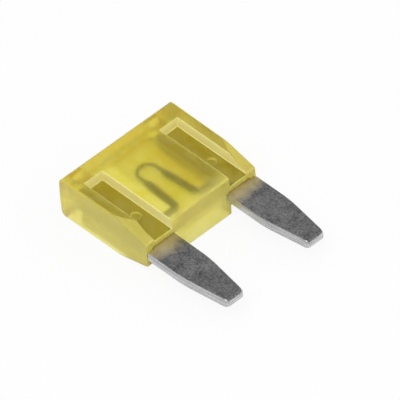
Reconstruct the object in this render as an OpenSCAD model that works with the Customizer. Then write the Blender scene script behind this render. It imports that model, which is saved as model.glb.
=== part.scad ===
// Mini automotive blade fuse: a clear moulded housing staked on a one-piece stamped element.
// It lies on its broad back face. X runs across the two blades, Y from the blade tips (-Y)
// to the head (+Y), and Z through the thickness. The origin is under the middle of the part.

/* [Overall] */
// Length from the head to the blade tips
overall_l = 16.3; // [15.8:0.1:16.8]
// Width of the housing
body_w = 10.9; // [10.7:0.1:11.4]
// Height of the housing, from the head to the face that the blades leave
body_h = 8.8; // [8.4:0.1:9.2]
// Thickness of the housing
body_t = 3.6; // [3.4:0.1:4]

/* [Housing] */
// Rounding of the head's corners, seen from the front
head_r = 0.2; // [0.1:0.05:0.9]
// Rounding of the long edges between the side walls and the faces
edge_r = 0.1; // [0.05:0.05:0.3]
// Rounding of the two edges at the head, seen from the side
end_r = 0.45; // [0.2:0.05:0.5]
// Rounding of the two edges at the blade end, seen from the side
exit_r = 0.2; // [0.1:0.05:0.3]
// How far each side wall leans in from the parting line to a face
draft = 0.06; // [0.02:0.02:0.2]
// How far each side wall closes in from the head to the blade end
side_taper = 0.1; // [0.02:0.02:0.12]
// Plastic left at the head, past the end of the channels
head_wall = 1.7; // [1.5:0.05:2]
// Width of each open channel over a blade
channel_w = 1.7; // [1.5:0.05:1.75]
// Distance from the middle of the housing to the near wall of a channel
channel_x = 2.8; // [2.75:0.05:2.9]
// Plastic left between a channel's floor and the blade
cover_t = 0.5; // [0.4:0.05:0.6]
// Rounding of the channel floor's edge at the blade end
floor_lip_r = 0.15; // [0.1:0.05:0.2]
// Length over which a rim slopes down towards the blade end, along its outer edge
rim_run = 2.75; // [2.2:0.05:4]
// The same along its inner edge, where the slope starts later and falls faster
rim_inner_run = 1.7; // [1.4:0.05:2]
// Radius of the bend where a rim starts to slope
rim_bend_r = 3; // [2:0.5:8]
// Height of a rim above its channel's floor where the slope ends
rim_lip = 0.15; // [0.05:0.05:0.3]

/* [Blades] */
// Width of a blade
blade_w = 2.7; // [2.6:0.05:2.8]
// Width of a blade inside the housing, above the shoulder on its outer edge
shank_w = 2.15; // [2:0.05:2.25]
// Thickness of the strip
blade_t = 0.75; // [0.65:0.05:0.85]
// Clear gap between the two blades
blade_gap = 5.1; // [5:0.05:5.15]
// Width of a blade at its tip, before its corners are rounded
tip_w = 1.5; // [1.4:0.05:2.2]
// Length over which a blade narrows to its tip
tip_run = 4; // [2.5:0.1:4.5]
// Rounding of the tip's corners
tip_r = 0.25; // [0.1:0.05:0.5]
// Length of the bevels pressed on the tip's front and back
bevel_l = 0.35; // [0.2:0.05:0.5]
// Depth of each of those bevels
bevel_d = 0.18; // [0.05:0.01:0.25]

/* [Link] */
// Thickness of the link, milled thinner than the blades
link_t = 0.25; // [0.2:0.05:0.4]
// Width of the link's legs
leg_w = 0.6; // [0.5:0.05:0.65]
// Width of the neck round the bend, where the link melts
neck_w = 0.24; // [0.2:0.02:0.4]
// Distance from the middle to the centre of a leg at its bend end
leg_top_x = 0.78; // [0.74:0.02:0.84]
// Distance from the middle to the centre of a leg at its strap end
leg_low_x = 1.02; // [0.84:0.02:1.04]
// Radius of the bend along its centre line
bend_r = 0.8; // [0.74:0.02:0.86]

/* [Stakes] */
// Diameter of the plastic that fills each blade's hole
stake_d = 0.65; // [0.5:0.05:0.8]
// Diameter of the dimple that the staking punch leaves in a channel's floor
punch_d = 0.85; // [0.7:0.05:1.1]
// Depth of that dimple
punch_depth = 0.15; // [0.1:0.05:0.25]

/* [Hidden] */
$fn = 64;
over = 1;            // how far a cutter runs past what it cuts
fit = 0.05;          // clearance round the element in the housing

// Lengthwise places
head_y = overall_l / 2;
tip_y = -overall_l / 2;
exit_y = head_y - body_h;             // the face that the blades leave
channel_end_y = head_y - head_wall;
blade_end_y = channel_end_y + 0.35;   // the blades stop just inside the head
stake_y = exit_y + 2.8;
shoulder_y = exit_y - fit;            // the shoulder stops against the housing

// Places through the thickness
mid_z = body_t / 2;
floor_z = mid_z + blade_t / 2 + fit + cover_t;    // floor of the front channels

// Places across the width
exit_corner_r = 0.15;                 // rounding of the corners at the blade end
skew_lead = 0.6;                      // how far past a rim's bend its askew plane comes out
blade_x = (blade_gap + blade_w) / 2;
channel_mid_x = channel_x + channel_w / 2;

// Link
strap_y = exit_y + 1.5;               // centre line of the straps that join legs to blades
heel_r = 0.8;                         // rounding of the outer corner from a strap to its leg
crook_r = 0.3;                        // rounding of the inner corner there
shoulder_r = 0.25;                    // rounding where a leg narrows into the neck
bend_y = exit_y + 5.38;               // centre of the bend
neck_low_y = bend_y - 0.5;            // where the neck starts to widen
leg_end_y = bend_y - 0.95;            // where it has widened to the whole leg

// Chamber round the link
chamber_half_w = leg_low_x + leg_w / 2 + crook_r;
chamber_t = 0.6;
chamber_low_y = strap_y - leg_w / 2 - 0.2;

// Probe openings in the head, one above each blade
probe_w = 1.1;
probe_t = 0.7;

// Relief under each channel's floor where the blade leaves the housing
relief_w = 2.05;
relief_h = 0.12;
relief_l = 0.5;

// ---- Rounded outlines ----

function unit(v) = v / norm(v);
// Directions from corner i of an outline to its two neighbours
function to_next(p, i) = unit(p[(i + 1) % len(p)] - p[i]);
function to_last(p, i) = unit(p[(i + len(p) - 1) % len(p)] - p[i]);
function half_angle(p, i) = acos(to_next(p, i) * to_last(p, i)) / 2;
// Centre of the arc of radius r that rounds corner i
function arc_centre(p, i, r) =
    p[i] + unit(to_next(p, i) + to_last(p, i)) * r / sin(half_angle(p, i));
// Where that arc meets the outline before and after the corner
function arc_ends(p, i, r) = let (t = r / tan(half_angle(p, i)))
    [p[i] + to_last(p, i) * t, p[i] + to_next(p, i) * t];
function bearing(v) = atan2(v.y, v.x);
// The shortest way round from one bearing to another
function turn(from, to) = (to - from + 540) % 360 - 180;
// That arc as a row of n flat facets
function corner_facets(p, i, r, n) =
    let (c = arc_centre(p, i, r), e = arc_ends(p, i, r), from = bearing(e[0] - c),
         step = turn(from, bearing(e[1] - c)) / n)
    [for (k = [0:n]) c + r * [cos(from + k * step), sin(from + k * step)]];

// A convex outline whose corner i is rounded to radius radii[i], or sharp where that is 0
module rounded_outline(p, radii) {
    polygon([for (i = [0:len(p) - 1])
        each radii[i] > 0 ? arc_ends(p, i, radii[i]) : [p[i]]]);
    for (i = [0:len(p) - 1])
        if (radii[i] > 0)
            intersection() {
                translate(arc_centre(p, i, radii[i])) circle(radii[i]);
                polygon(concat([p[i]], arc_ends(p, i, radii[i])));
            }
}

// Repeats its children on both sides of the width, and on both faces
module both_sides() {
    children();
    mirror([1, 0, 0]) children();
}

module both_faces() {
    children();
    translate([0, 0, body_t]) mirror([0, 0, 1]) children();
}

// ---- Housing ----

// Seen from the front: side walls that close in slightly towards the blade end
module front_outline() {
    head_x = body_w / 2;
    exit_x = head_x - side_taper;
    rounded_outline([[-exit_x, exit_y], [exit_x, exit_y], [head_x, head_y], [-head_x, head_y]],
                    [exit_corner_r, exit_corner_r, head_r, head_r]);
}

// Seen from the blade end: side walls that lean in to both faces from the parting line
module end_outline() {
    w = body_w / 2;
    f = w - draft;
    rounded_outline([[-f, 0], [f, 0], [w, mid_z], [f, body_t], [-f, body_t], [-w, mid_z]],
                    [edge_r, edge_r, 0, edge_r, edge_r, 0]);
}

// Seen from the side: a rectangle with all four edges rounded
module side_outline() {
    rounded_outline([[exit_y, 0], [head_y, 0], [head_y, body_t], [exit_y, body_t]],
                    [exit_r, end_r, end_r, exit_r]);
}

module body_block() {
    intersection() {
        linear_extrude(body_t) front_outline();
        translate([0, head_y + over, 0]) rotate([90, 0, 0])
            linear_extrude(body_h + 2 * over) end_outline();
        translate([-body_w / 2 - over, 0, 0]) rotate([90, 0, 90])
            linear_extrude(body_w + 2 * over) side_outline();
    }
}

// Open channel in the front face, over the right-hand blade, its floor rounded at the exit
module channel() {
    sky = body_t + over;
    p = [[exit_y, mid_z], [exit_y, floor_z], [channel_end_y, floor_z]];
    lip = corner_facets(p, 1, floor_lip_r, 3);
    translate([channel_x, 0, 0]) rotate([90, 0, 90]) linear_extrude(channel_w)
        polygon(concat([[exit_y - over, sky], [exit_y - over, lip[0].y]], lip,
                       [p[2], [channel_end_y, sky]]));
}

// What is cut off the front of the right-hand rim. Its outer edge bends and slopes down to a
// rounded end at the blade end. Its inner edge stays level for longer and falls faster, so
// the slope twists: it is the higher of two planes, one of them set askew.
module rim_slope() {
    p = [[exit_y, mid_z], [exit_y, floor_z + rim_lip], [exit_y + rim_run, body_t],
         [head_y, body_t]];
    rim_end = corner_facets(p, 1, exit_r, 3);
    rim_bend = corner_facets(p, 2, rim_bend_r, 4);
    sky = body_t + over;
    inner_x = channel_x + channel_w;
    inner_y = exit_y + rim_inner_run;
    skew = atan2(rim_bend[4].x + skew_lead - inner_y, body_w / 2 - inner_x);
    fall = (body_t - floor_z) / (rim_inner_run - floor_lip_r) / cos(skew);
    intersection() {
        translate([channel_x + channel_w / 2, 0, 0]) rotate([90, 0, 90])
            linear_extrude(body_w)
            polygon(concat([[exit_y - over, sky], [exit_y - over, rim_end[0].y]], rim_end,
                           rim_bend, [[rim_bend[4].x, sky]]));
        translate([inner_x, inner_y, body_t]) rotate([0, 0, skew])
            translate([-body_w, 0, 0]) rotate([90, 0, 90]) linear_extrude(2 * body_w)
            polygon([[0, 0], [0, over], [-body_w, over], [-body_w, -fall * body_w]]);
    }
}

// Dimple left by the punch that spreads the stake
module punch_mark() {
    translate([channel_mid_x, stake_y, floor_z - punch_depth]) cylinder(h = over, d = punch_d);
}

// Flat pocket that the right-hand shank sits in, with its stake left standing
module blade_pocket() {
    difference() {
        translate([blade_gap / 2 - fit, exit_y - over, mid_z - blade_t / 2 - fit])
            cube([shank_w + 2 * fit, blade_end_y - exit_y + over, blade_t + 2 * fit]);
        translate([channel_mid_x, stake_y, 0]) cylinder(h = body_t, d = stake_d);
    }
}

// Shallow relief above the right-hand blade where it leaves the housing
module exit_relief() {
    translate([channel_mid_x - relief_w / 2, exit_y - over, mid_z])
        cube([relief_w, relief_l + over, blade_t / 2 + fit + relief_h]);
}

// Opening in the head through which a test probe reaches the right-hand blade
module probe_opening() {
    translate([channel_mid_x - probe_w / 2, blade_end_y - over, mid_z - probe_t / 2])
        cube([probe_w, head_y - blade_end_y + 2 * over, probe_t]);
}

// Chamber that keeps the plastic off the link, round at the head like the bend inside it
module link_chamber() {
    translate([0, 0, mid_z - chamber_t / 2]) linear_extrude(chamber_t) {
        translate([-chamber_half_w, chamber_low_y])
            square([2 * chamber_half_w, bend_y - chamber_low_y]);
        translate([0, bend_y]) circle(chamber_half_w);
    }
    translate([-blade_gap / 2 - fit, strap_y - leg_w / 2 - fit, mid_z - link_t / 2 - fit])
        cube([blade_gap + 2 * fit, leg_w + 2 * fit, link_t + 2 * fit]);
}

module housing() {
    color([0.87, 0.76, 0.2, 0.6])
    difference() {
        body_block();
        both_sides() both_faces() {
            channel();
            rim_slope();
            punch_mark();
            exit_relief();
        }
        both_sides() {
            blade_pocket();
            probe_opening();
        }
        link_chamber();
    }
}

// ---- Fuse element ----

// Outline of the right-hand blade, narrowing to a tip with rounded corners. Its outer edge
// steps in at a shoulder, and the narrower shank above that is what the housing holds.
module blade_outline() {
    w = blade_w / 2;
    t = tip_w / 2;
    turn_y = tip_y + tip_run;
    shank_x = shank_w - w;
    translate([blade_x, 0])
        difference() {
            rounded_outline([[-t, tip_y], [t, tip_y], [w, turn_y], [w, blade_end_y],
                             [-w, blade_end_y], [-w, turn_y]],
                            [tip_r, tip_r, 2.5, 0, 0.2, 2.5]);
            translate([shank_x, shoulder_y]) square([blade_w, blade_end_y - shoulder_y + over]);
        }
}

// The strip from the side, with the bevels pressed on the tip
module strip_side() {
    z = mid_z + blade_t / 2;
    polygon([[blade_end_y, mid_z - blade_t / 2], [blade_end_y, z], [tip_y + bevel_l, z],
             [tip_y, z - bevel_d], [tip_y, mid_z - blade_t / 2 + bevel_d],
             [tip_y + bevel_l, mid_z - blade_t / 2]]);
}

module blade() {
    difference() {
        intersection() {
            translate([0, 0, mid_z - blade_t / 2]) linear_extrude(blade_t) blade_outline();
            rotate([90, 0, 90]) linear_extrude(body_w) strip_side();
        }
        translate([channel_mid_x, stake_y, 0]) cylinder(h = body_t, d = stake_d);
    }
}

// A quarter of a flat ring of width w, in the corner between +X and +Y
module ring_quarter(centre_r, w) {
    intersection() {
        difference() {
            circle(centre_r + w / 2);
            circle(centre_r - w / 2);
        }
        square(centre_r + w);
    }
}

// Right-hand half of the link: a strap from the blade, a leg that leans in towards the
// neck, and half of the bend
module half_link_outline() {
    half_leg = leg_w / 2;
    half_neck = neck_w / 2;
    p = [[blade_gap / 2 + 0.1, strap_y - half_leg], [blade_gap / 2 + 0.1, strap_y + half_leg],
         [leg_low_x + half_leg, strap_y + half_leg], [leg_top_x + half_leg, leg_end_y],
         [bend_r + half_neck, neck_low_y], [bend_r + half_neck, bend_y],
         [bend_r - half_neck, bend_y], [bend_r - half_neck, neck_low_y],
         [leg_top_x - half_leg, leg_end_y], [leg_low_x - half_leg, strap_y - half_leg]];
    radii = [0, 0, crook_r, shoulder_r, shoulder_r, 0, 0, shoulder_r, shoulder_r, heel_r];
    polygon([for (i = [0:len(p) - 1])
        each radii[i] > 0 ? corner_facets(p, i, radii[i], 4) : [p[i]]]);
    translate([0, bend_y]) ring_quarter(bend_r, neck_w);
}

module fuse_element() {
    color([0.62, 0.62, 0.64]) {
        both_sides() blade();
        translate([0, 0, mid_z - link_t / 2]) linear_extrude(link_t)
            both_sides() half_link_outline();
    }
}

housing();
fuse_element();
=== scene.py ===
"""Mini automotive blade fuse: a clear moulded housing staked on a one-piece stamped element."""

from __future__ import annotations

import logging
import math
from contextlib import contextmanager
from dataclasses import dataclass
from enum import Enum
from typing import Callable, Iterator, Sequence, Union

import bmesh
import bpy
from mathutils import Matrix, Vector


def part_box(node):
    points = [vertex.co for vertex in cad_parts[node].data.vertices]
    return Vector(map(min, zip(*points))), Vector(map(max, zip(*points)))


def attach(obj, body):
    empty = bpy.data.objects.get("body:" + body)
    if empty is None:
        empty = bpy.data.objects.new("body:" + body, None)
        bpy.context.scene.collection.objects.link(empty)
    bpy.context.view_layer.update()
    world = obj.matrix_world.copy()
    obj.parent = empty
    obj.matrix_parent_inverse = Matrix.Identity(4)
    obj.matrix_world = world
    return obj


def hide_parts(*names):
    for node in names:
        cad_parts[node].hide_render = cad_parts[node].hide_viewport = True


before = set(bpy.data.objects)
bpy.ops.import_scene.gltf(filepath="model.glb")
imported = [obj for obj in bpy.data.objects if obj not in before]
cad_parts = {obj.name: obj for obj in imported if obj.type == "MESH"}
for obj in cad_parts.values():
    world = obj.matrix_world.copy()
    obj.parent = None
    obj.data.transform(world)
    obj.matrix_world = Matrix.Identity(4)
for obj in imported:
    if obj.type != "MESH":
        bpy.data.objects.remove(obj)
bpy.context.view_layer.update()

LOG = logging.getLogger("blade_fuse")
MM = 0.001                 # metres in a millimetre; pieces are modelled in millimetres
OVER = 1.0                 # how far a cutter runs past what it cuts
MERGE = 0.002              # corners closer than this become one
SLACK = 0.01               # how closely two places have to agree
FACING = 0.9               # how nearly a face looks along an axis when it counts as facing it
SHARP = 35.0               # edges that turn by more degrees than this stay sharp
Piece = bpy.types.Object
Point = tuple[float, float, float]
Colour = tuple[float, float, float, float]


class Pick(Enum):
    """What is selected on a mesh in edit mode."""

    VERTS = "verts"
    EDGES = "edges"
    FACES = "faces"


class Join(Enum):
    """How a second solid is combined with a piece."""

    CUT = "DIFFERENCE"
    ADD = "UNION"


# ---- Bench: modelling by operators ----


def deselect() -> None:
    """Deselects every object."""
    bpy.ops.object.select_all(action="DESELECT")


def make_active(piece: Piece) -> None:
    """Selects one piece alone and makes it the active one."""
    deselect()
    piece.select_set(True)
    bpy.context.view_layer.objects.active = piece


def freeze(piece: Piece) -> None:
    """Writes a piece's place, turn and size into its mesh."""
    make_active(piece)
    bpy.ops.object.transform_apply(location=True, rotation=True, scale=True)


@contextmanager
def editing(piece: Piece) -> Iterator[Piece]:
    """Opens a piece in edit mode with nothing selected, and closes it again."""
    make_active(piece)
    bpy.ops.object.mode_set(mode="EDIT")
    bpy.ops.mesh.select_all(action="DESELECT")
    yield piece
    bpy.ops.object.mode_set(mode="OBJECT")


def take_all() -> None:
    """Selects the whole mesh of the piece that is open in edit mode."""
    bpy.ops.mesh.select_all(action="SELECT")


def centre_of(element: object) -> Vector:
    """The middle of a vertex, an edge or a face."""
    if isinstance(element, bmesh.types.BMVert):
        return element.co.copy()
    points = [v.co for v in element.verts]
    return sum(points, Vector()) / len(points)


def pick(piece: Piece, kind: Pick, test: Callable[[object], bool]) -> int:
    """Selects, in edit mode, what passes a test, and nothing else.

    Args:
        piece: The piece that is open in edit mode.
        kind: Whether vertices, edges or faces are tested.
        test: Says whether one element is wanted.

    Returns:
        How many elements were selected.
    """
    bpy.ops.mesh.select_all(action="DESELECT")
    bpy.ops.mesh.select_mode(type=kind.name[:-1])
    mesh = bmesh.from_edit_mesh(piece.data)
    wanted = [e for e in getattr(mesh, kind.value) if test(e)]
    for element in wanted:
        element.select_set(True)
    mesh.select_flush_mode()
    bmesh.update_edit_mesh(piece.data)
    return len(wanted)


def box(name: str, low: Sequence[float], high: Sequence[float]) -> Piece:
    """Adds a cube primitive that fills the space between two corners.

    Args:
        name: Name of the new object.
        low: Lowest corner, in millimetres.
        high: Highest corner, in millimetres.

    Returns:
        The new object, with its place in its mesh.
    """
    deselect()
    middle = [(a + b) / 2 for a, b in zip(low, high)]
    size = [b - a for a, b in zip(low, high)]
    bpy.ops.mesh.primitive_cube_add(size=1, location=middle)
    piece = bpy.context.object
    piece.name = name
    piece.scale = size
    freeze(piece)
    return piece


def rod(name: str, middle: Sequence[float], radius: float, height: float,
        sides: int = 48) -> Piece:
    """Adds a cylinder primitive that stands along Z.

    Args:
        name: Name of the new object.
        middle: Centre of the cylinder, in millimetres.
        radius: Radius, in millimetres.
        height: Full height, in millimetres.
        sides: Number of flats round it.

    Returns:
        The new object, with its place in its mesh.
    """
    deselect()
    bpy.ops.mesh.primitive_cylinder_add(vertices=sides, radius=radius, depth=height,
                                        location=middle)
    piece = bpy.context.object
    piece.name = name
    freeze(piece)
    return piece


def combine(piece: Piece, tool: Piece, how: Join) -> None:
    """Applies a boolean modifier to a piece and removes the tool.

    Args:
        piece: The solid that is changed.
        tool: The solid that cuts it or is added to it.
        how: Whether the tool is cut away or added.
    """
    modifier = piece.modifiers.new("combine", "BOOLEAN")
    modifier.operation = how.value
    modifier.solver = "EXACT"
    modifier.material_mode = "TRANSFER"
    modifier.object = tool
    make_active(piece)
    bpy.ops.object.modifier_apply(modifier=modifier.name)
    bpy.data.objects.remove(tool)


def mirrored(piece: Piece, axis: int, plane: float) -> Piece:
    """A copy of a piece, reflected in a plane, with its faces pointing outwards.

    Args:
        piece: What is copied, left as it is.
        axis: 0, 1 or 2, the axis that is reflected.
        plane: Where the mirror stands along that axis, in millimetres.

    Returns:
        The copy, with its own mesh.
    """
    copy = piece.copy()
    copy.data = piece.data.copy()
    bpy.context.scene.collection.objects.link(copy)
    flip = [1.0, 1.0, 1.0]
    flip[axis] = -1.0
    shift = [0.0, 0.0, 0.0]
    shift[axis] = 2 * plane
    copy.data.transform(Matrix.Translation(shift) @ Matrix.Diagonal((*flip, 1.0)))
    with editing(copy):
        take_all()
        bpy.ops.mesh.flip_normals()
    return copy


def round_off(piece: Piece, width: float, segments: int,
              test: Callable[[bmesh.types.BMEdge], bool]) -> int:
    """Rounds, in edit mode, the edges that pass a test.

    Args:
        piece: The piece that is open in edit mode.
        width: Width of the rounding, in millimetres.
        segments: Number of flats across it.
        test: Says whether an edge is rounded.

    Returns:
        How many edges were rounded.
    """
    count = pick(piece, Pick.EDGES, test)
    bpy.ops.mesh.bevel(offset=width, offset_type="OFFSET", segments=segments,
                       affect="EDGES", clamp_overlap=False)
    return count


def widen(factor: float, middle: float = 0.0) -> None:
    """Scales what is selected across the width, about a middle."""
    bpy.ops.transform.resize(value=(factor, 1, 1), center_override=(middle, 0, 0))


def runs_along(edge: bmesh.types.BMEdge, axis: int, limit: float = 0.95) -> bool:
    """Whether an edge runs along an axis."""
    return abs((edge.verts[1].co - edge.verts[0].co).normalized()[axis]) > limit


def near(value: float, target: float, by: float = SLACK) -> bool:
    """Whether two lengths agree."""
    return abs(value - target) < by


def facet_arc(corner: tuple[float, float], before: tuple[float, float],
              after: tuple[float, float], radius: float,
              steps: int) -> list[tuple[float, float]]:
    """Points along the arc that rounds one corner of an outline.

    Args:
        corner: The sharp corner.
        before: A point on the line that comes into the corner.
        after: A point on the line that leaves it.
        radius: Radius of the rounding.
        steps: Number of flat facets along the arc.

    Returns:
        steps + 1 points, from the incoming line to the outgoing one.
    """
    c = Vector(corner)
    to_before = (Vector(before) - c).normalized()
    to_after = (Vector(after) - c).normalized()
    half = to_before.angle(to_after) / 2
    centre = c + (to_before + to_after).normalized() * radius / math.sin(half)
    start = c + to_before * radius / math.tan(half) - centre
    end = c + to_after * radius / math.tan(half) - centre
    turn = start.angle_signed(end)
    arc = [centre + Matrix.Rotation(-turn * k / steps, 2) @ start for k in range(steps + 1)]
    return [(p.x, p.y) for p in arc]


def to_metres(piece: Piece) -> None:
    """Shrinks a piece that was modelled in millimetres."""
    piece.scale = (MM, MM, MM)
    freeze(piece)


def dress(piece: Piece, finishes: Sequence[bpy.types.Material],
          choose: Callable[[bpy.types.MeshPolygon], int]) -> None:
    """Gives a piece its materials.

    Args:
        piece: The piece.
        finishes: Its materials, in order.
        choose: Says which of them a face takes.
    """
    piece.data.materials.clear()
    for finish in finishes:
        piece.data.materials.append(finish)
    for face in piece.data.polygons:
        face.material_index = choose(face)


def smooth(piece: Piece) -> None:
    """Shades a piece smoothly, except across its sharp edges."""
    make_active(piece)
    bpy.ops.object.shade_smooth_by_angle(angle=math.radians(SHARP))
    modifier = piece.modifiers.new("weighted", "WEIGHTED_NORMAL")
    modifier.keep_sharp = True
    bpy.ops.object.modifier_apply(modifier=modifier.name)


# ---- Materials ----


class Wire:
    """One output of a node. Arithmetic on wires adds Math nodes."""

    def __init__(self, socket: bpy.types.NodeSocket) -> None:
        """Keeps the socket that it stands for."""
        self.socket = socket

    def math(self, operation: str, first: Value, second: Value) -> Wire:
        """Adds a Math node on two values."""
        node = self.socket.id_data.nodes.new("ShaderNodeMath")
        node.operation = operation
        for entry, value in zip(node.inputs, (first, second)):
            plug(entry, value)
        return Wire(node.outputs[0])

    def __add__(self, other: Value) -> Wire:
        """Sum."""
        return self.math("ADD", self, other)

    __radd__ = __add__

    def __mul__(self, other: Value) -> Wire:
        """Product."""
        return self.math("MULTIPLY", self, other)

    __rmul__ = __mul__

    def __sub__(self, other: Value) -> Wire:
        """Difference."""
        return self.math("SUBTRACT", self, other)

    def __rsub__(self, other: Value) -> Wire:
        """Difference, the other way round."""
        return self.math("SUBTRACT", other, self)

    def __abs__(self) -> Wire:
        """Size without its sign."""
        return self.math("ABSOLUTE", self, 0)

    def or_more(self, other: Value) -> Wire:
        """The larger of the two."""
        return self.math("MAXIMUM", self, other)


Value = Union[Wire, float, Sequence[float]]


def plug(entry: bpy.types.NodeSocket, value: Value) -> None:
    """Links a wire to an input, or sets its value."""
    if isinstance(value, Wire):
        value.socket.id_data.links.new(value.socket, entry)
    else:
        entry.default_value = value


class Board:
    """The node tree of one new material."""

    def __init__(self, name: str) -> None:
        """Starts a material that has only its output node."""
        self.material = bpy.data.materials.new(name)
        self.material.use_nodes = True
        self.tree = self.material.node_tree
        self.tree.nodes.clear()
        self.output = self.tree.nodes.new("ShaderNodeOutputMaterial")

    def node(self, kind: str, settings: dict[str, object] | None = None,
             inputs: dict[str | int, Value] | None = None, out: str | int = 0) -> Wire:
        """Adds any node.

        Args:
            kind: Type of the node, without its "ShaderNode".
            settings: Its own settings, which are set first.
            inputs: Values or wires for its inputs.
            out: Which output is returned.

        Returns:
            The chosen output.
        """
        node = self.tree.nodes.new("ShaderNode" + kind)
        for name, value in (settings or {}).items():
            setattr(node, name, value)
        for name, value in (inputs or {}).items():
            plug(node.inputs[name], value)
        return Wire(node.outputs[out])

    def place(self, stretch: Sequence[float] = (1, 1, 1)) -> Wire:
        """Object coordinates in millimetres, stretched along the axes."""
        coordinates = self.node("TexCoord", out="Object")
        scale = tuple(k / MM for k in stretch)
        return self.node("Mapping", inputs={"Vector": coordinates, "Scale": scale})

    def axes(self) -> list[Wire]:
        """Places across and along the fuse, in millimetres."""
        return [self.node("SeparateXYZ", None, {"Vector": self.place()}, axis)
                for axis in ("X", "Y")]

    def noise(self, scale: float, detail: float = 3, stretch: Sequence[float] = (1, 1, 1),
              distortion: float = 0) -> Wire:
        """Smooth noise with about this many grains to a millimetre, from 0 to 1."""
        return self.node("TexNoise", None, {"Vector": self.place(stretch), "Scale": scale,
                                            "Detail": detail, "Distortion": distortion})

    def fade(self, value: Value, low: float, high: float, start: float = 0,
             end: float = 1) -> Wire:
        """Turns low..high into start..end, and holds the ends."""
        return self.node("MapRange", None, {"Value": value, "From Min": low, "From Max": high,
                                            "To Min": start, "To Max": end})

    def blend(self, mask: Value, first: Value, second: Value) -> Wire:
        """Mixes two colours by a mask."""
        return self.node("Mix", {"data_type": "RGBA"}, {0: mask, 6: first, 7: second}, 2)

    def bump(self, height: Value, depth: float, strength: float = 1) -> Wire:
        """Surface normals of a height from 0 to 1, with its depth in millimetres."""
        return self.node("Bump", None, {"Height": height, "Distance": depth * MM,
                                        "Strength": strength})

    def finish(self, inputs: dict[str, Value], volume: Wire | None = None,
               frost: dict[str, Value] | None = None, share: Value = 0) -> bpy.types.Material:
        """Closes the material.

        Args:
            inputs: Inputs of its Principled shader.
            volume: What fills it, for a clear material.
            frost: Inputs of a second Principled shader, mixed over the first one.
            share: Share of that second shader.

        Returns:
            The material.
        """
        shader = self.node("BsdfPrincipled", None, inputs)
        if frost:
            over = self.node("BsdfPrincipled", None, frost)
            shader = self.node("MixShader", None, {0: share, 1: shader, 2: over})
        self.tree.links.new(shader.socket, self.output.inputs["Surface"])
        if volume:
            self.tree.links.new(volume.socket, self.output.inputs["Volume"])
        return self.material


def colour(red: float, green: float, blue: float) -> Colour:
    """An opaque linear colour."""
    return (red, green, blue, 1.0)


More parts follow.
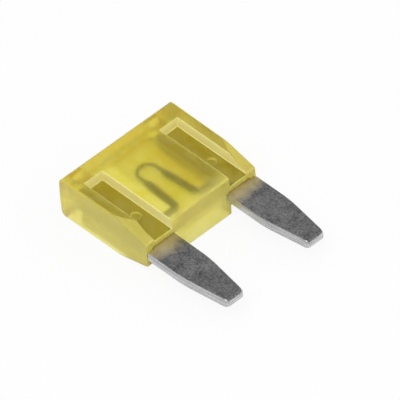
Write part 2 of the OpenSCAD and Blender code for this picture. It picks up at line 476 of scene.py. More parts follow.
@dataclass(frozen=True)
class ClearPlastic:
    """Yellow translucent thermoplastic: satin outside, clear inside, frosted along its edges, with
    a painted cream highlight on the most frosted edges and a band of painted shade right of the
    link.

    Places are in millimetres.
    """

    tint: Colour = colour(0.88, 0.82, 0.17)
    deep: Colour = colour(0.82, 0.73, 0.06)         # patches of a deeper yellow
    amber: Colour = colour(0.9, 0.68, 0.07)         # at the head and along one rim
    inner_tint: Colour = colour(0.97, 0.95, 0.7)    # walls of the pockets and the chamber
    shade: Colour = colour(0.8, 0.66, 0.05)         # painted shade: darkens a band right of the link, standing in for the shadow under the fuse seen through the plastic
    frosted: Colour = colour(0.80, 0.71, 0.16)
    highlight_cream: Colour = colour(0.98, 0.90, 0.40)        # painted highlight: lighter colour of the edges that are frosted most
    absorb: Colour = colour(0.9, 0.85, 0.2)
    density: float = 330.0          # absorption for each metre
    clear: float = 0.87             # share of the light that goes in
    ior: float = 1.53
    gloss: Colour = colour(0.95, 0.88, 0.45)
    rough_outside: float = 0.32
    rough_channel: float = 0.3
    rough_inside: float = 0.1
    rough_frost: float = 0.5
    amber_y: float = 7.5            # where the tint starts to turn to amber
    amber_x: float = 4.7            # where it does across the width, on one side
    amber_run: float = 0.7          # how gradually
    matt_y: float = -0.25           # the outside is matt from here to the blade end
    matt_run: float = 1.1
    matt: float = 0.45              # how much of the light it scatters there
    shade_x: float = 1.4             # middle of the band of painted shade
    shade_half_w: float = 1.0
    shade_core: float = 0.45         # half width of its darkest part
    shade_y: float = 5.6             # about where it ends
    sink_depth: float = 0.02        # depth of the surface's gentle waves
    inner: str = "inner"            # face attribute, 1 on the walls of the pockets
    channel: str = "channel"        # face attribute, 1 on the walls of the open channels
    frost: str = "frost"            # face attribute, share of the light that a face scatters

    def make(self) -> bpy.types.Material:
        """Builds the material."""
        b = Board("clear_yellow_plastic")
        inner, channel, frost = (b.node("Attribute", {"attribute_name": name}, out="Fac")
                                 for name in (self.inner, self.channel, self.frost))
        flow = b.noise(0.5, 2, (1, 0.5, 1))
        grain = b.noise(14, 3)
        patches = b.noise(0.9, 3, (1, 0.7, 1), 0.5)
        across, along = b.axes()
        head = b.fade(along + flow * 1.6, self.amber_y, self.amber_y + self.amber_run)
        rim = b.fade(across + flow, self.amber_x, self.amber_x + self.amber_run)
        # painted shade: a darker band right of the link, standing in for the shadow under the fuse
        # seen through the plastic
        off = abs(across - self.shade_x + (patches - 0.5) * 0.6)
        shaded = (b.fade(off, self.shade_half_w, self.shade_core)
                * b.fade(along, self.shade_y + 1, self.shade_y - 0.5) * b.fade(along, 0, 1))
        base = b.blend(b.fade(patches, 0.42, 0.62), self.tint, self.deep)
        base = b.blend(head.or_more(rim) * b.fade(patches, 0.4, 0.6, 0.4, 1), base, self.amber)
        base = b.blend(shaded, base, self.shade)
        rough = (b.fade(grain, 0.3, 0.7, -0.02, 0.03) + self.rough_outside
                 + inner * (self.rough_inside - self.rough_outside)
                 + channel * (self.rough_channel - self.rough_outside))
        matt = b.fade(along + flow * 0.8, self.matt_y + self.matt_run, self.matt_y, 0, self.matt)
        share = frost.or_more(matt * (1 - inner) * (1 - channel))
        normal = b.bump(b.noise(0.9, 2), self.sink_depth, 0.5)
        volume = b.node("VolumeAbsorption", None, {"Color": self.absorb,
                                                   "Density": self.density})
        return b.finish({"Base Color": b.blend(inner, base, self.inner_tint),
                         "Roughness": rough, "IOR": self.ior,
                         "Transmission Weight": self.clear, "Specular Tint": self.gloss,
                         "Normal": normal}, volume,
                        # painted highlight: the most frosted faces, along the channels' edges, turn
                        # a lighter cream
                        {"Base Color": b.blend(b.fade(frost, 0.5, 0.8), self.frosted,
                                               self.highlight_cream),
                         "Roughness": self.rough_frost, "Normal": normal}, share)


@dataclass(frozen=True)
class TinnedFace:
    """Rolled and tin-plated face of the strip: mottled and scratched lengthwise, and painted dark
    to stand in for the dark surroundings that its flat faces mirror.

    Places are in millimetres.
    """

    # painted shade: these dark tones stand in for the dark surroundings that the flat faces mirror;
    # the mottle between them is the metal's own
    dark: Colour = colour(0.08, 0.08, 0.086)
    light: Colour = colour(0.26, 0.26, 0.262)
    housing_reflection: Colour = colour(0.62, 0.52, 0.29)        # painted reflection of the yellow housing on the blade tops next to it
    reflection_from: float = -1.45       # where it starts, on the bare blade
    reflection_to: float = -0.15         # where it is full
    link_x: float = 2.2             # the link, between these, stays dark
    link_run: float = 0.3
    mark_depth: float = 0.012       # depth of the specks and scratches

    def make(self) -> bpy.types.Material:
        """Builds the material."""
        b = Board("tinned_face")
        clouds = b.noise(1.1, 4, distortion=0.4)
        specks = b.noise(8, 4)
        lines = b.noise(3.5, 3, (6, 0.25, 6))
        mottle = b.fade(clouds * 0.3 + specks * 0.5 + lines * 0.2, 0.38, 0.62)
        metal = b.blend(mottle, self.dark, self.light)
        across, along = b.axes()
        blade = b.fade(abs(across), self.link_x, self.link_x + self.link_run)
        # painted reflection: the blade tops turn khaki near the housing and fade back to dark away
        # from it
        near_exit = blade * b.fade(along + clouds * 1.2, self.reflection_from, self.reflection_to)
        return b.finish({"Base Color": b.blend(near_exit, metal, self.housing_reflection), "Metallic": 0.9,
                         "Roughness": b.fade(specks, 0.3, 0.7, 0.36, 0.5),
                         "Normal": b.bump(specks * 0.6 + lines * 0.4, self.mark_depth, 0.6)})


@dataclass(frozen=True)
class ShearedEdge:
    """Cut edge of the strip: bright, with streaks along the cut."""

    bright: Colour = colour(0.72, 0.72, 0.73)
    dull: Colour = colour(0.26, 0.26, 0.26)
    streak_depth: float = 0.02      # in millimetres

    def make(self) -> bpy.types.Material:
        """Builds the material."""
        b = Board("sheared_edge")
        streaks = b.noise(1.3, 4, (0.25, 0.25, 9))
        pits = b.noise(7, 3)
        marks = streaks * 0.7 + pits * 0.3
        mask = b.fade(marks, 0.36, 0.64)
        return b.finish({"Base Color": b.blend(mask, self.dull, self.bright), "Metallic": 0.85,
                         "Roughness": b.fade(pits, 0.3, 0.7, 0.3, 0.45),
                         "Normal": b.bump(marks, self.streak_depth, 0.7)})


# ---- Housing ----


@dataclass
class Fit:
    """Sizes that the housing and the element share. Lengths are in millimetres."""

    low: Vector                    # lowest corner of the CAD node
    high: Vector                   # its highest corner
    blade_gap: float = 5.1         # clear gap between the blades
    shank_w: float = 2.15          # width of a blade inside the housing, above a shoulder
    step_w: float = 0.1            # how far a blade widens inwards there
    link_t: float = 0.25
    leg_w: float = 0.6             # width of the link's legs and straps


@dataclass(frozen=True)
class Frost:
    """Share of the light that each kind of face scatters back."""

    edge: float = 0.85             # rounded edges of a channel, and the band beside them, painted a lighter cream as a highlight
    lip: float = 0.5               # a channel's floor where it curves down at the blade end
    dimple_rim: float = 0.45
    dimple: float = 0.08
    exit: float = 0.5              # the blade end
    rim: float = 0.4               # top of a rim
    side: float = 0.3


@dataclass
class Housing(Fit):
    """The moulded housing, one solid. Lengths are in millimetres.

    It is a tapered block with a channel over each blade on both faces. Inside are the flat
    pockets that the blades fill, the stakes that lock them, and a chamber round the link,
    which opens into the right-hand pocket.
    """

    draft: float = 0.06            # lean of the side walls, from parting line to face
    side_taper: float = 0.1        # how far each side closes in towards the blade end
    edge_r: float = 0.11           # rounding all round the two side walls
    end_r: float = 0.45            # rounding of the edges at the head
    exit_r: float = 0.2            # rounding of the edges at the blade end
    channel_x: float = 2.8         # inner wall of a channel
    channel_w: float = 1.7         # width of a channel
    head_wall: float = 1.7         # plastic past the channels' head ends
    end_corner_r: float = 0.12     # rounding of a channel's upright corners there
    end_floor_r: float = 0.08      # rounding along its floor there
    end_run: float = 0.2           # length of the floor's edges that get it
    cover_t: float = 0.5           # plastic between a channel's floor and the blade
    rim_run: float = 2.75          # length of the slope along a rim's outer edge
    rim_inner_run: float = 1.7     # its length along the inner edge
    rim_bend_r: float = 3.0        # radius where that slope starts
    rim_lip: float = 0.15          # height of a rim above the floor at the blade end
    skew_lead: float = 0.6         # how far past the bend the slope's askew plane comes out
    floor_lip_r: float = 0.15      # rounding of a channel's floor at the blade end
    lip_run: float = 0.3           # length of the floor that takes part in it
    blade_t: float = 0.75
    blade_in: float = 0.35         # how far the blades reach past the channels' head ends
    fit: float = 0.05              # clearance round the element
    relief_w: float = 2.05         # shallow relief over a blade at the blade end
    relief_h: float = 0.12
    relief_l: float = 0.5
    stake_d: float = 0.64          # just under the diameter of a blade's hole
    stake_up: float = 2.8          # from the blade end to the stakes' centres
    punch_d: float = 0.85
    punch_depth: float = 0.15
    punch_r: float = 0.12          # rounding of the dimple's bottom edge
    soft_r: float = 0.04           # small rounding that the mould leaves on inner edges
    highlight_band: float = 0.11             # band along a channel's edges that carries a painted highlight line
    soft_angle: float = 40.0       # which edges get it, in degrees
    core: float = 0.75             # nearer the middle than this, a face is inside
    soft_core: float = 0.65        # the same for an edge
    rim_face: float = 0.8          # further from the middle, a rim's face is its top
    side_band: float = 0.15        # width taken by the rounding of a side wall
    exit_band: float = 0.25        # length of the matt face and rounding at the blade end
    chamber_left: float = 1.42     # how far the chamber reaches from the middle to the left
    chamber_t: float = 0.6
    chamber_up: float = 0.5        # from the blade end to the chamber
    chamber_end: float = 7.2       # the chamber's head end
    chamber_r: float = 0.3         # rounding of its corners
    chamber_inner: float = 0.6     # how far its walls count as inner ones; the rest of their tint is the deeper yellow, painted shade over the link seen through them
    strap_up: float = 1.3          # from the blade end to the link's straps
    probe_w: float = 1.1
    probe_t: float = 0.7
    probe_r: float = 0.1

    def __post_init__(self) -> None:
        """Works out the places that follow from the driving sizes."""
        self.half_w = self.high.x
        self.thick = self.high.z
        self.mid_z = self.thick / 2
        self.exit_y = self.low.y
        self.head_y = self.high.y
        self.end_y = self.head_y - self.head_wall
        self.floor_z = self.mid_z + self.blade_t / 2 + self.fit + self.cover_t
        self.channel_out = self.channel_x + self.channel_w
        self.channel_mid = self.channel_x + self.channel_w / 2
        self.pocket_x = self.blade_gap / 2 - self.fit - self.step_w
        self.pocket_out = self.blade_gap / 2 + self.shank_w + self.fit
        self.pocket_h = self.blade_t / 2 + self.fit
        self.inner_h = self.pocket_h + self.relief_h + 3 * SLACK
        self.blade_end_y = self.end_y + self.blade_in
        self.stake_y = self.exit_y + self.stake_up

    def build(self) -> Piece:
        """Models the whole housing, in millimetres."""
        shell = self.block()
        self.cut_all_four(shell, self.rim_slope())
        self.round_sides(shell)
        for cutter in (self.channel(), self.punch_mark(), self.relief()):
            self.cut_all_four(shell, cutter)
        for cutter in (self.pocket(), self.probe_opening()):
            self.cut_both_sides(shell, cutter)
        combine(shell, self.chamber(), Join.CUT)
        self.soften(shell)
        shell.name = "housing_shell"
        smooth(shell)
        to_metres(shell)
        for name, test in ((ClearPlastic.inner, self.is_inner),
                           (ClearPlastic.channel, self.is_channel),
                           (ClearPlastic.frost, self.frost)):
            self.mark(shell, name, test)
        dress(shell, [ClearPlastic().make()], lambda face: 0)
        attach(shell, "root")
        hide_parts("housing")
        return shell

    def mark(self, shell: Piece, name: str, test: Callable[[Vector], float]) -> None:
        """Writes a face attribute, which a test gives for the middle of each face."""
        attribute = shell.data.attributes.new(name, "FLOAT", "FACE")
        for face, value in zip(shell.data.polygons, attribute.data):
            value.value = float(test(face.center / MM))

    def is_inner(self, place: Vector) -> float:
        """1 for a face of a pocket, and less for a face of the chamber."""
        inside = (abs(place.z - self.mid_z) < self.inner_h
                  and abs(place.x) < self.pocket_out + 2 * SLACK
                  and self.exit_y + SLACK < place.y < self.blade_end_y + 3 * SLACK)
        # chamber walls keep more of the deeper yellow than the pockets: painted shade over the link
        return inside * (self.chamber_inner if abs(place.x) < self.pocket_x - self.fit else 1.0)

    def is_channel(self, place: Vector) -> bool:
        """Whether a face at this place is a wall or the floor of an open channel."""
        return (self.inner_h < abs(place.z - self.mid_z) < self.mid_z - SLACK / 2
                and self.channel_x - SLACK < abs(place.x) < self.channel_out + SLACK
                and self.exit_y + SLACK < place.y < self.end_y + SLACK)

    def frost(self, place: Vector) -> float:
        """How much of the light a face at this place scatters back."""
        share = Frost()
        across, up = abs(place.x), abs(place.z - self.mid_z)
        if self.is_channel(place):
            if up < self.floor_z - self.mid_z - SLACK:
                if place.y < self.exit_y + self.lip_run:
                    return share.lip
                if place.z < self.mid_z:
                    return share.edge
                out = math.hypot(across - self.channel_mid, place.y - self.stake_y)
                return share.dimple_rim if out > (self.punch_d - self.punch_r) / 2 else share.dimple
            gaps = (across - self.channel_x, self.channel_out - across, self.end_y - place.y)
            return share.edge if min(gaps) < self.soft_r + SLACK / 2 else 0.0
        if place.y < self.exit_y + self.exit_band:
            return share.exit
        # the bands beside the channels' edges take the painted cream highlight
        edges = (abs(across - self.channel_x + self.highlight_band / 2),
                 abs(across - self.channel_out - self.highlight_band / 2))
        if (min(edges) < self.highlight_band / 2 + SLACK and up > self.core
                and self.exit_y + self.rim_inner_run < place.y < self.end_y):
            return share.edge
        if across > self.channel_out - 2 * SLACK:
            return share.rim if up > self.rim_face else share.side
        return 0.0

    def block(self) -> Piece:
        """The outer block: drafted, tapered, and rounded at the head and the blade end."""
        block = box("block", (-self.half_w, self.exit_y, 0), (self.half_w, self.head_y, self.thick))
        with editing(block):
            take_all()
            bpy.ops.mesh.bisect(plane_co=(0, 0, self.mid_z), plane_no=(0, 0, 1))
            pick(block, Pick.VERTS, lambda v: not near(v.co.z, self.mid_z))
            widen(1 - self.draft / self.half_w)
            pick(block, Pick.VERTS, lambda v: near(v.co.y, self.exit_y))
            widen(1 - self.side_taper / self.half_w)
            for place, radius, segments in ((self.head_y, self.end_r, 7),
                                            (self.exit_y, self.exit_r, 4)):
                round_off(block, radius, segments, lambda e: runs_along(e, 0)
                          and near(centre_of(e).y, place)
                          and not near(centre_of(e).z, self.mid_z))
        return block

    def round_sides(self, shell: Piece) -> None:
        """Rounds the outline of both side walls, all the way round."""
        with editing(shell):
            take_all()
            bpy.ops.mesh.remove_doubles(threshold=MERGE)
            round_off(shell, self.edge_r, 3, lambda e: abs(centre_of(e).x) > self.channel_out
                      and {abs(f.normal.x) > FACING for f in e.link_faces} == {True, False})

    def profile_cutter(self, name: str, inner_x: float, outer_x: float,
                       stations: Sequence[tuple[float, float]]) -> Piece:
        """A cutter for the front whose underside follows a line of stations.

        Args:
            name: Name of the cutter.
            inner_x: Where it starts across the width.
            outer_x: Where it ends across the width.
            stations: Lengthwise place and height of each point of its underside, from the
                blade end to the head.

        Returns:
            The cutter, which also runs past the blade end at its first height.
        """
        low = stations[0][1]
        cutter = box(name, (inner_x, self.exit_y - OVER, low),
                     (outer_x, stations[-1][0], self.thick + OVER))
        with editing(cutter):
            for y, _ in stations[:-1]:
                take_all()
                bpy.ops.mesh.bisect(plane_co=(0, y, 0), plane_no=(0, 1, 0))
            for y, z in stations:
                pick(cutter, Pick.VERTS, lambda v: near(v.co.y, y, 0.001) and near(v.co.z, low))
                bpy.ops.transform.translate(value=(0, 0, z - low))
        return cutter

    def channel(self) -> Piece:
        """Cutter for the open channel over the right-hand blade, on the front."""
        lip = facet_arc((self.exit_y, self.floor_z), (self.exit_y, 0),
                        (self.head_y, self.floor_z), self.floor_lip_r, 3)
        cutter = self.profile_cutter("channel", self.channel_x, self.channel_out,
                                     lip + [(self.end_y, self.floor_z)])
        with editing(cutter):
            round_off(cutter, self.end_corner_r, 3,
                      lambda e: runs_along(e, 2) and near(centre_of(e).y, self.end_y))
            round_off(cutter, self.end_floor_r, 3, lambda e: near(centre_of(e).z, self.floor_z)
                      and centre_of(e).y > self.end_y - self.end_run)
        return cutter

    def rim_slope(self) -> Piece:
        """Cutter for the twisted slope on the front of the right-hand rim."""
        exit_z = self.floor_z + self.rim_lip
        bend_y = self.exit_y + self.rim_run
        stations = facet_arc((self.exit_y, exit_z), (self.exit_y, 0), (bend_y, self.thick),
                             self.exit_r, 4)
        stations += facet_arc((bend_y, self.thick), (self.exit_y, exit_z),
                              (self.head_y, self.thick), self.rim_bend_r, 6)
        last, before = Vector(stations[-1]), Vector(stations[-2])
        inner_y = self.exit_y + self.rim_inner_run
        skew = math.atan2(last.x + self.skew_lead - inner_y,
                          self.half_w - self.channel_out)
        drop = (self.thick - self.floor_z) / (self.rim_inner_run - self.floor_lip_r)
        askew = Vector((drop * math.tan(skew), -drop, 1)).normalized()
        stations[-1] = tuple(last + (last - before))
        cutter = self.profile_cutter("rim_slope", self.channel_mid, self.half_w + OVER, stations)
        with editing(cutter):
            take_all()
            bpy.ops.mesh.bisect(plane_co=(self.channel_out, inner_y, self.thick),
                                plane_no=askew, use_fill=True, clear_inner=True)
        return cutter

    def punch_mark(self) -> Piece:
        """Cutter for the dimple that the staking punch leaves in a channel's floor."""
        cutter = rod("punch_mark", (self.channel_mid, self.stake_y,
                                    self.floor_z - self.punch_depth + OVER / 2),
                     self.punch_d / 2, OVER)
        with editing(cutter):
            round_off(cutter, self.punch_r, 3,
                      lambda e: near(centre_of(e).z, self.floor_z - self.punch_depth))
        return cutter

    def relief(self) -> Piece:
        """Cutter for the shallow gap over the blade where it leaves the housing."""
        half = self.relief_w / 2
        return box("relief", (self.channel_mid - half, self.exit_y - OVER, self.mid_z),
                   (self.channel_mid + half, self.exit_y + self.relief_l,
                    self.mid_z + self.pocket_h + self.relief_h))

    def pocket(self) -> Piece:
        """Cutter for the flat pocket of the right-hand blade, with its stake left standing."""
        cutter = box("pocket", (self.pocket_x, self.exit_y - OVER, self.mid_z - self.pocket_h),
                     (self.pocket_out, self.blade_end_y, self.mid_z + self.pocket_h))
        stake = rod("stake", (self.channel_mid, self.stake_y, self.mid_z), self.stake_d / 2,
                    self.thick)
        combine(cutter, stake, Join.CUT)
        return cutter

    def probe_opening(self) -> Piece:
        """Cutter for the opening in the head that lets a test probe reach the blade."""
        half = self.probe_w / 2
        cutter = box("probe_opening",
                     (self.channel_mid - half, self.blade_end_y - OVER / 2,
                      self.mid_z - self.probe_t / 2),
                     (self.channel_mid + half, self.head_y + OVER,
                      self.mid_z + self.probe_t / 2))
        with editing(cutter):
            round_off(cutter, self.probe_r, 3, lambda e: runs_along(e, 1))
        return cutter

    def chamber(self) -> Piece:
        """Cutter for the flat chamber round the link, and the slots of its straps."""
        half_t = self.chamber_t / 2
        strap_y = self.exit_y + self.strap_up
        cutter = box("chamber",
                     (-self.chamber_left, self.exit_y + self.chamber_up, self.mid_z - half_t),
                     (self.pocket_x + self.fit, self.chamber_end, self.mid_z + half_t))
        with editing(cutter):
            round_off(cutter, self.chamber_r, 4, lambda e: runs_along(e, 2))
        slot = box("strap_slot",
                   (-self.pocket_x - OVER, strap_y - self.leg_w / 2 - self.fit,
                    self.mid_z - self.link_t / 2 - self.fit),
                   (self.pocket_x + OVER, strap_y + self.leg_w / 2 + self.fit,
                    self.mid_z + self.link_t / 2 + self.fit))
        combine(cutter, slot, Join.ADD)
        return cutter

    def cut_both_sides(self, shell: Piece, cutter: Piece) -> None:
        """Cuts a right-hand feature and its mirror image on the left."""
        for tool in (mirrored(cutter, 0, 0), cutter):
            combine(shell, tool, Join.CUT)

    def cut_all_four(self, shell: Piece, cutter: Piece) -> None:
        """Cuts a feature of the right-hand front in all four of its places."""
        self.cut_both_sides(shell, mirrored(cutter, 2, self.mid_z))
        self.cut_both_sides(shell, cutter)

    def soften(self, shell: Piece) -> None:
        """Cleans up after the cuts and rounds the edges that can be seen or touched."""

        def shows(edge: bmesh.types.BMEdge) -> bool:
            """Whether a sharp edge lies outside the pockets, the chamber and the rims' feet."""
            if len(edge.link_faces) != 2 or edge.calc_face_angle(0) < math.radians(self.soft_angle):
                return False
            middle = centre_of(edge)
            across = abs(middle.x)
            if abs(middle.z - self.mid_z) < self.soft_core:
                return False
            on_rim = self.channel_out + 2 * SLACK < across < self.half_w - self.side_band
            if on_rim and middle.y > 0:
                return middle.y > self.end_y
            return not (near(across, self.channel_out) and middle.y < self.exit_y + self.lip_run)

        with editing(shell):
            take_all()
            bpy.ops.mesh.remove_doubles(threshold=MERGE)
            bpy.ops.mesh.dissolve_limited(angle_limit=math.radians(0.5), delimit={"MATERIAL"})
            LOG.info("softened %d edges", round_off(shell, self.soft_r, 2, shows))
            for place, outside in ((self.exit_y, lambda v: v.co.y < self.exit_y),
                                   (self.head_y, lambda v: v.co.y > self.head_y)):
                pick(shell, Pick.VERTS, outside)
                bpy.ops.transform.resize(value=(1, 0, 1), center_override=(0, place, 0))
            # bands beside each channel edge, which carry the painted highlight
            cuts = [((side * place, 0, 0), (1, 0, 0)) for side in (-1, 1)
                    for place in (self.channel_x - self.highlight_band, self.channel_out + self.highlight_band)]
            for place, way in cuts + [((0, self.end_y, 0), (0, 1, 0))]:
                pick(shell, Pick.FACES, lambda f: abs(centre_of(f).z - self.mid_z) > self.core
                     and abs(f.normal.z) > 0.2
                     and not self.channel_x < abs(centre_of(f).x) < self.channel_out)
                bpy.ops.mesh.bisect(plane_co=place, plane_no=way)
            take_all()
            bpy.ops.mesh.remove_doubles(threshold=MERGE)
            bpy.ops.mesh.normals_make_consistent(inside=False)


# ---- Fuse element ----


@dataclass
class FuseElement(Fit):
    """Both blades and the link, stamped from one strip. Lengths are in millimetres."""

    mid_z: float = 1.8
    blade_w: float = 2.7
    shoulder_y: float = -0.7
    step_up: float = 0.4           # from the shoulder to where a blade widens inwards
    step_short: float = 0.3        # from where that ends to the blade's upper end
    top_r: float = 0.2             # rounding of its upper corners
    tip_w: float = 1.5
    tip_run: float = 4.0
    tip_corner: float = 0.22       # rounding of the corners of a tip
    turn_run: float = 0.75         # length of the rounding where a blade starts to narrow
    bevel_l: float = 0.35          # length of the bevels pressed on a tip
    bevel_d: float = 0.18          # depth of those bevels
    roll_r: float = 0.12           # edge drawn down by the stamping punch, on the front
    burr_r: float = 0.03           # edge on the back
    hole_d: float = 0.65           # hole for the stake
    hole_x: float = 3.65
    hole_y: float = 2.15
    leg_top_x: float = 0.78        # centre of a leg where it meets the neck
    leg_low_x: float = 1.02        # centre of a leg level with the straps
    neck_w: float = 0.24
    neck_r: float = 0.8            # radius of the bend along its centre line
    neck_soft: float = 0.1         # rounding where a leg narrows into the neck
    link_edge_r: float = 0.03
    strap_in: float = 0.1          # how far a strap reaches into its blade
    flat: float = 0.8              # a rolled face looks up or down at least this nearly
    upright: float = 0.3           # and a cut one at most this nearly
    elbow_r: float = 0.53
    strap_y: float = 0.65
    bend_y: float = 4.73
    neck_low_y: float = 4.23       # where the neck starts to widen
    leg_end_y: float = 3.78        # where it has widened to the whole leg

    def __post_init__(self) -> None:
        """Works out the places that follow from the driving sizes."""
        self.blade_x = (self.blade_gap + self.blade_w) / 2
        self.tip_y = self.low.y
        self.back_z = self.low.z
        self.front_z = self.high.z

    def build(self) -> Piece:
        """Stamps the two blades and the link as one solid."""
        element = self.blade()
        combine(element, mirrored(element, 0, 0), Join.ADD)
        combine(element, self.link(), Join.ADD)
        with editing(element):
            take_all()
            bpy.ops.mesh.remove_doubles(threshold=0.001)
            bpy.ops.mesh.dissolve_limited(angle_limit=math.radians(0.3))
            take_all()
            bpy.ops.mesh.normals_make_consistent(inside=False)
        element.name = "stamped_element"
        smooth(element)
        to_metres(element)
        dress(element, [TinnedFace().make(), ShearedEdge().make()],
              lambda face: int(abs(face.normal.z) < self.flat))
        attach(element, "root")
        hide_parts("fuse_element")
        return element

    def blade(self) -> Piece:
        """The right-hand blade, with its tip, its hole and its stamped edges."""
        half = self.blade_w / 2
        blade = box("blade", (self.blade_x - half, self.tip_y, self.back_z),
                    (self.blade_x + half, self.high.y, self.front_z))
        turn_y = self.tip_y + self.tip_run
        with editing(blade):
            take_all()
            bpy.ops.mesh.bisect(plane_co=(0, turn_y, 0), plane_no=(0, 1, 0))
            pick(blade, Pick.VERTS, lambda v: near(v.co.y, self.tip_y))
            widen(self.tip_w / self.blade_w, self.blade_x)
            for place, run, segments in ((turn_y, self.turn_run, 6),
                                         (self.tip_y, self.tip_corner, 5),
                                         (self.high.y, self.top_r, 3)):
                round_off(blade, run, segments,
                          lambda e: runs_along(e, 2) and near(centre_of(e).y, place))
        notch = box("notch", (self.blade_x - half + self.shank_w, self.shoulder_y, -OVER),
                    (self.blade_x + half + OVER, self.high.y + OVER, self.front_z + OVER))
        combine(blade, notch, Join.CUT)
        step = box("step", (self.blade_x - half - self.step_w, self.shoulder_y + self.step_up,
                            self.back_z),
                   (self.blade_x, self.high.y - self.step_short, self.front_z))
        combine(blade, step, Join.ADD)
        with editing(blade):
            for face_z, way in ((self.front_z, 1), (self.back_z, -1)):
                take_all()
                bpy.ops.mesh.bisect(plane_co=(0, self.tip_y + self.bevel_l, face_z),
                                    plane_no=(0, -self.bevel_d, way * self.bevel_l),
                                    use_fill=True, clear_outer=True)
            for way, width, segments in ((1, self.roll_r, 4), (-1, self.burr_r, 2)):
                round_off(blade, width, segments,
                          lambda e: any(f.normal.z * way > self.flat for f in e.link_faces)
                          and any(abs(f.normal.z) < self.upright for f in e.link_faces))
        hole = rod("hole", (self.hole_x, self.hole_y, self.mid_z), self.hole_d / 2, OVER * 2)
        combine(blade, hole, Join.CUT)
        return blade

    def link(self) -> Piece:
        """The link: strap, elbow, leaning leg, bend, and the same again on the other side."""
        half_t = self.link_t / 2
        lean = (self.leg_low_x - self.leg_top_x) / (self.leg_end_y - self.strap_y)
        foot_x = self.leg_low_x - lean * self.elbow_r
        elbow_x = foot_x + self.elbow_r
        elbow_y = self.strap_y + self.elbow_r
        strap_end = self.blade_gap / 2 + self.strap_in
        link = box("link", (elbow_x, self.strap_y - self.leg_w / 2, self.mid_z - half_t),
                   (strap_end, self.strap_y + self.leg_w / 2, self.mid_z + half_t))
        with editing(link):
            pick(link, Pick.FACES, lambda f: f.normal.x < -FACING)
            self.turn(90, (elbow_x, elbow_y), 8)
            self.run((self.leg_top_x - foot_x, self.leg_end_y - elbow_y))
            self.run((self.neck_r - self.leg_top_x, self.neck_low_y - self.leg_end_y),
                     self.neck_w / self.leg_w, self.neck_r)
            self.run((0, self.bend_y - self.neck_low_y))
            self.turn(-180, (0, self.bend_y), 20)
            self.run((0, self.neck_low_y - self.bend_y))
            self.run((self.neck_r - self.leg_top_x, self.leg_end_y - self.neck_low_y),
                     self.leg_w / self.neck_w, -self.leg_top_x)
            self.run((self.leg_top_x - foot_x, elbow_y - self.leg_end_y))
            self.turn(90, (-elbow_x, elbow_y), 8)
            self.run((elbow_x - strap_end, 0))
            round_off(link, self.neck_soft, 3, lambda e: runs_along(e, 2) and any(
                near(centre_of(e).y, y) for y in (self.leg_end_y, self.neck_low_y)))
            round_off(link, self.link_edge_r, 2,
                      lambda e: any(abs(f.normal.z) > FACING for f in e.link_faces)
                      and any(abs(f.normal.z) < 1 - FACING for f in e.link_faces))
        return link

    def turn(self, degrees: float, middle: tuple[float, float], steps: int) -> None:
        """Spins the selected face round an upright axis."""
        bpy.ops.mesh.spin(steps=steps, angle=math.radians(degrees),
                          center=(*middle, self.mid_z), axis=(0, 0, 1))

    def run(self, move: tuple[float, float], width: float = 1.0, middle: float = 0.0) -> None:
        """Extrudes the selected face, and widens or narrows it about a middle."""
        bpy.ops.mesh.extrude_region_move(TRANSFORM_OT_translate={"value": (*move, 0)})
        widen(width, middle)


# ---- Studio ----


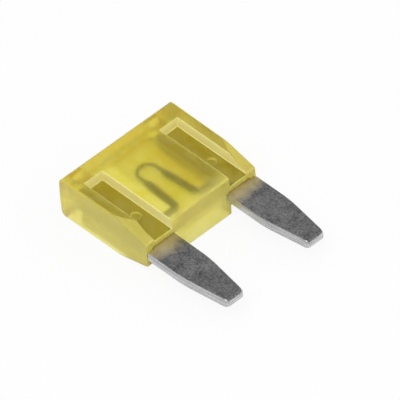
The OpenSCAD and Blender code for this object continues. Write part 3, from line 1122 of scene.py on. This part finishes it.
@dataclass
class Studio:
    """Plain pale floor, soft light from all round, and the camera. Lengths in metres."""

    azimuth: float = -40.755
    elevation: float = 45.094
    roll: float = 4.386
    aim: tuple[float, float] = (0.318 * MM, 0.895 * MM)   # off the middle, right and up
    middle: tuple[float, float, float] = (0.0, 0.0, 1.8 * MM)
    distance: float = 0.4693
    lens: float = 604.0
    sky: float = 0.75
    backdrop: float = 0.9           # share of the floor that shows as plain white
    floor_size: float = 1.0
    lamp_size: float = 0.3
    near_clip: float = 0.01
    lamps: tuple[tuple[str, Point, float], ...] = (    # name, place and power
        ("key_light", (-0.25, -0.1, 0.45), 1.1),
        ("fill_light", (0.35, -0.3, 0.25), 0.5))

    def build(self) -> None:
        """Sets up the camera, the floor, the world and the lamps."""
        bpy.context.scene.view_settings.view_transform = "Standard"
        self.camera()
        self.floor()
        self.world()
        for name, place, power in self.lamps:
            self.lamp(name, place, power)

    def camera(self) -> None:
        """Adds the camera."""
        az, el, roll = (math.radians(a) for a in (self.azimuth, self.elevation, self.roll))
        back = Vector((math.sin(az) * math.cos(el), -math.cos(az) * math.cos(el), math.sin(el)))
        level = Vector((math.cos(az), math.sin(az), 0))
        upright = back.cross(level)
        right = level * math.cos(roll) - upright * math.sin(roll)
        up = level * math.sin(roll) + upright * math.cos(roll)
        target = Vector(self.middle) + right * self.aim[0] + up * self.aim[1]
        deselect()
        bpy.ops.object.camera_add()
        camera = bpy.context.object
        camera.name = "camera"
        camera.data.lens = self.lens
        camera.data.clip_start = self.near_clip
        turn = Matrix((right, up, back)).transposed().to_4x4()
        turn.translation = target + back * self.distance
        camera.matrix_world = turn
        bpy.context.scene.camera = camera

    def white(self, board: Board) -> Wire:
        """The backdrop's share for what sees it directly, mirrored or through plastic."""
        direct, mirrored_ray, through = (board.node("LightPath", out=name) for name in
                                         ("Is Camera Ray", "Is Glossy Ray",
                                          "Is Transmission Ray"))
        return direct.or_more(mirrored_ray).or_more(through) * self.backdrop

    def floor(self) -> None:
        """Adds the pale floor that the fuse lies on."""
        deselect()
        bpy.ops.mesh.primitive_plane_add(size=self.floor_size)
        floor = bpy.context.object
        floor.name = "floor"
        b = Board("pale_floor")
        paper = b.node("BsdfDiffuse", None, {"Color": colour(0.8, 0.8, 0.8)})
        glow = b.node("Emission", None, {"Color": colour(1, 1, 1), "Strength": 1.0})
        mix = b.node("MixShader", None, {0: self.white(b), 1: paper, 2: glow})
        b.tree.links.new(mix.socket, b.output.inputs["Surface"])
        dress(floor, [b.material], lambda face: 0)

    def world(self) -> None:
        """Even light from all round."""
        world = bpy.data.worlds.new("soft_sky")
        world.use_nodes = True
        background = world.node_tree.nodes["Background"]
        background.inputs["Color"].default_value = colour(1, 1, 1)
        background.inputs["Strength"].default_value = self.sky
        bpy.context.scene.world = world

    def lamp(self, name: str, place: Point, power: float) -> None:
        """Adds a square soft lamp that faces the fuse."""
        deselect()
        bpy.ops.object.light_add(type="AREA", location=place)
        lamp = bpy.context.object
        lamp.name = name
        lamp.data.shape = "SQUARE"
        lamp.data.size = self.lamp_size
        lamp.data.energy = power
        lamp.rotation_euler = Vector(place).to_track_quat("Z", "Y").to_euler()


def main() -> None:
    """Builds the fuse, dresses it and sets up the studio."""
    logging.basicConfig(level=logging.INFO, format="%(message)s")
    for maker, node in ((Housing, "housing"), (FuseElement, "fuse_element")):
        low, high = (Vector(corner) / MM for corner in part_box(node))
        piece = maker(low, high).build()
        LOG.info("%s: %d faces", piece.name, len(piece.data.polygons))
    Studio().build()


if __name__ == "__main__":
    main()
